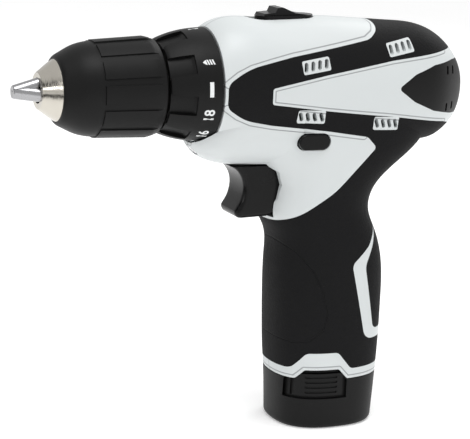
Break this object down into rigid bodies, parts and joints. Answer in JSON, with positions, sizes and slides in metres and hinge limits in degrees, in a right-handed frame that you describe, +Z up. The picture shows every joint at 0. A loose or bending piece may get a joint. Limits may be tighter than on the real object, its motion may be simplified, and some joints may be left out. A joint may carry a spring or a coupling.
{
  "type": "cordless drill driver",
  "caption": "Pistol-grip cordless drill driver with a keyless chuck, torque ring, planetary gearbox, brushed motor and slide-in stick battery.",
  "frame": {"origin": "centre of the battery foot's flat underside, the face the tool stands on", "axes": "+X towards the rear cap with the chuck pointing along -X, +Y to the tool's left seen from behind it, +Z up"},
  "size_m": [0.2, 0.0506, 0.1794],
  "materials": {
    "white_shell": "satin moulded",
    "black_rubber": "fine grained, matt",
    "black_plastic": "satin moulded",
    "nylon": "glass-filled, matt",
    "nickel": "turned and nickel plated",
    "tool_steel": "ground",
    "gear_steel": "sintered",
    "motor_steel": "zinc plated",
    "magnet": "pressed ferrite",
    "copper": "enamelled wire",
    "contact_brass": "stamped",
    "cell_wrap": "shrink sleeve",
    "lens": "clear moulded"
  },
  "bodies": {
    "housing": {"housing_left": "white_shell", "housing_right": "white_shell", "overmold_left": "black_rubber", "overmold_right": "black_rubber", "rear_cap": "black_plastic", "housing_screws": "tool_steel", "gear_case": "nylon", "motor_bracket": "nylon", "motor_can": "motor_steel", "magnets": "magnet", "motor_end_bell": "nylon", "brushes": "magnet", "switch_body": "nylon", "trigger_spring": "motor_steel", "terminal_block": "nylon", "lamp_lens": "lens", "spindle_bearings": "motor_steel", "ring_gear_3": "gear_steel", "clutch_washer": "tool_steel", "clutch_pins": "tool_steel", "clutch_spring": "tool_steel"},
    "rotor": {"motor_shaft": "motor_steel", "armature": "gear_steel", "windings": "copper", "commutator": "copper", "motor_pinion": "gear_steel", "cooling_fan": "nylon"},
    "first_carrier": {"first_carrier": "gear_steel"},
    "second_carrier": {"second_carrier": "gear_steel"},
    "spindle": {"spindle": "gear_steel", "chuck_body": "nickel", "chuck_screw": "tool_steel"},
    "first_planet_1": {"first_planet_1": "gear_steel"},
    "first_planet_2": {"first_planet_2": "gear_steel"},
    "first_planet_3": {"first_planet_3": "gear_steel"},
    "second_planet_1": {"second_planet_1": "gear_steel"},
    "second_planet_2": {"second_planet_2": "gear_steel"},
    "second_planet_3": {"second_planet_3": "gear_steel"},
    "third_planet_1": {"third_planet_1": "gear_steel"},
    "third_planet_2": {"third_planet_2": "gear_steel"},
    "third_planet_3": {"third_planet_3": "gear_steel"},
    "sleeve": {"chuck_sleeve": "black_plastic", "jaw_nut": "tool_steel"},
    "jaw_1": {"jaw_1": "tool_steel"},
    "jaw_2": {"jaw_2": "tool_steel"},
    "jaw_3": {"jaw_3": "tool_steel"},
    "torque_ring": {"torque_ring": "black_plastic", "spring_nut": "tool_steel"},
    "trigger": {"trigger": "black_plastic"},
    "direction_lever": {"direction_lever": "black_plastic"},
    "selector": {"speed_selector": "black_plastic", "shift_fork": "motor_steel", "ring_gear_2": "gear_steel"},
    "battery": {"battery_case": "black_plastic", "battery_stick": "nylon", "battery_cells": "cell_wrap", "battery_contacts": "contact_brass"},
    "release_button_left": {"release_button_left": "black_plastic"},
    "release_button_right": {"release_button_right": "black_plastic"}
  },
  "joints": [
    {"name": "rotor_spin", "type": "hinge", "parent": "housing", "child": "rotor", "pos_m": [0, 0, 0.1482], "axis": [1, 0, 0], "continuous": true},
    {"name": "first_carrier_spin", "type": "hinge", "parent": "housing", "child": "first_carrier", "pos_m": [0, 0, 0.1482], "axis": [1, 0, 0], "continuous": true},
    {"name": "second_carrier_spin", "type": "hinge", "parent": "housing", "child": "second_carrier", "pos_m": [0, 0, 0.1482], "axis": [1, 0, 0], "continuous": true},
    {"name": "spindle_spin", "type": "hinge", "parent": "housing", "child": "spindle", "pos_m": [0, 0, 0.1482], "axis": [1, 0, 0], "continuous": true},
    {"name": "first_planet_1_spin", "type": "hinge", "parent": "first_carrier", "child": "first_planet_1", "pos_m": [0, 0.0105, 0.1482], "axis": [1, 0, 0], "continuous": true},
    {"name": "first_planet_2_spin", "type": "hinge", "parent": "first_carrier", "child": "first_planet_2", "pos_m": [0, -0.00525, 0.15729], "axis": [1, 0, 0], "continuous": true},
    {"name": "first_planet_3_spin", "type": "hinge", "parent": "first_carrier", "child": "first_planet_3", "pos_m": [0, -0.00525, 0.13911], "axis": [1, 0, 0], "continuous": true},
    {"name": "second_planet_1_spin", "type": "hinge", "parent": "second_carrier", "child": "second_planet_1", "pos_m": [0, 0.01155, 0.1482], "axis": [1, 0, 0], "continuous": true},
    {"name": "second_planet_2_spin", "type": "hinge", "parent": "second_carrier", "child": "second_planet_2", "pos_m": [0, -0.00577, 0.1582], "axis": [1, 0, 0], "continuous": true},
    {"name": "second_planet_3_spin", "type": "hinge", "parent": "second_carrier", "child": "second_planet_3", "pos_m": [0, -0.00577, 0.1382], "axis": [1, 0, 0], "continuous": true},
    {"name": "third_planet_1_spin", "type": "hinge", "parent": "spindle", "child": "third_planet_1", "pos_m": [0, 0.01155, 0.1482], "axis": [1, 0, 0], "continuous": true},
    {"name": "third_planet_2_spin", "type": "hinge", "parent": "spindle", "child": "third_planet_2", "pos_m": [0, -0.00577, 0.1582], "axis": [1, 0, 0], "continuous": true},
    {"name": "third_planet_3_spin", "type": "hinge", "parent": "spindle", "child": "third_planet_3", "pos_m": [0, -0.00577, 0.1382], "axis": [1, 0, 0], "continuous": true},
    {"name": "sleeve_turn", "type": "hinge", "parent": "spindle", "child": "sleeve", "pos_m": [0, 0, 0.1482], "axis": [1, 0, 0], "range_deg": [0, 2560]},
    {"name": "jaw_1_slide", "type": "slide", "parent": "spindle", "child": "jaw_1", "axis": [0.9659, 0, 0.2588], "range_m": [0, 0.0186]},
    {"name": "jaw_2_slide", "type": "slide", "parent": "spindle", "child": "jaw_2", "axis": [0.9659, -0.2241, -0.1294], "range_m": [0, 0.0186]},
    {"name": "jaw_3_slide", "type": "slide", "parent": "spindle", "child": "jaw_3", "axis": [0.9659, 0.2241, -0.1294], "range_m": [0, 0.0186]},
    {"name": "torque_ring_turn", "type": "hinge", "parent": "housing", "child": "torque_ring", "pos_m": [0, 0, 0.1482], "axis": [1, 0, 0], "range_deg": [0, 304.6]},
    {"name": "trigger_squeeze", "type": "slide", "parent": "housing", "child": "trigger", "axis": [1, 0, 0], "range_m": [0, 0.006], "stiffness_N_per_m": 600, "deforming": ["trigger_spring"]},
    {"name": "lever_shift", "type": "slide", "parent": "housing", "child": "direction_lever", "axis": [0, 1, 0], "range_m": [-0.0025, 0.0025]},
    {"name": "selector_shift", "type": "slide", "parent": "housing", "child": "selector", "axis": [-1, 0, 0], "range_m": [0, 0.005]},
    {"name": "battery_slide", "type": "slide", "parent": "housing", "child": "battery", "axis": [0, 0, -1], "range_m": [0, 0.085]},
    {"name": "release_left_press", "type": "slide", "parent": "battery", "child": "release_button_left", "axis": [0, 1, 0], "range_m": [0, 0.0012], "stiffness_N_per_m": 1500},
    {"name": "release_right_press", "type": "slide", "parent": "battery", "child": "release_button_right", "axis": [0, -1, 0], "range_m": [0, 0.0012], "stiffness_N_per_m": 1500}
  ],
  "couplings": [
    {"joint": "first_carrier_spin", "follows": "rotor_spin", "ratio": 0.2},
    {"joint": "second_carrier_spin", "follows": "rotor_spin", "ratio": 0.054545},
    {"joint": "spindle_spin", "follows": "rotor_spin", "ratio": 0.014876},
    {"joint": "first_planet_1_spin", "follows": "rotor_spin", "ratio": -0.53333},
    {"joint": "first_planet_2_spin", "follows": "rotor_spin", "ratio": -0.53333},
    {"joint": "first_planet_3_spin", "follows": "rotor_spin", "ratio": -0.53333},
    {"joint": "second_planet_1_spin", "follows": "rotor_spin", "ratio": -0.17455},
    {"joint": "second_planet_2_spin", "follows": "rotor_spin", "ratio": -0.17455},
    {"joint": "second_planet_3_spin", "follows": "rotor_spin", "ratio": -0.17455},
    {"joint": "third_planet_1_spin", "follows": "rotor_spin", "ratio": -0.047603},
    {"joint": "third_planet_2_spin", "follows": "rotor_spin", "ratio": -0.047603},
    {"joint": "third_planet_3_spin", "follows": "rotor_spin", "ratio": -0.047603},
    {"joint": "jaw_1_slide", "follows": "sleeve_turn", "m_per_rad": 0.0004138},
    {"joint": "jaw_2_slide", "follows": "sleeve_turn", "m_per_rad": 0.0004138},
    {"joint": "jaw_3_slide", "follows": "sleeve_turn", "m_per_rad": 0.0004138}
  ]
}
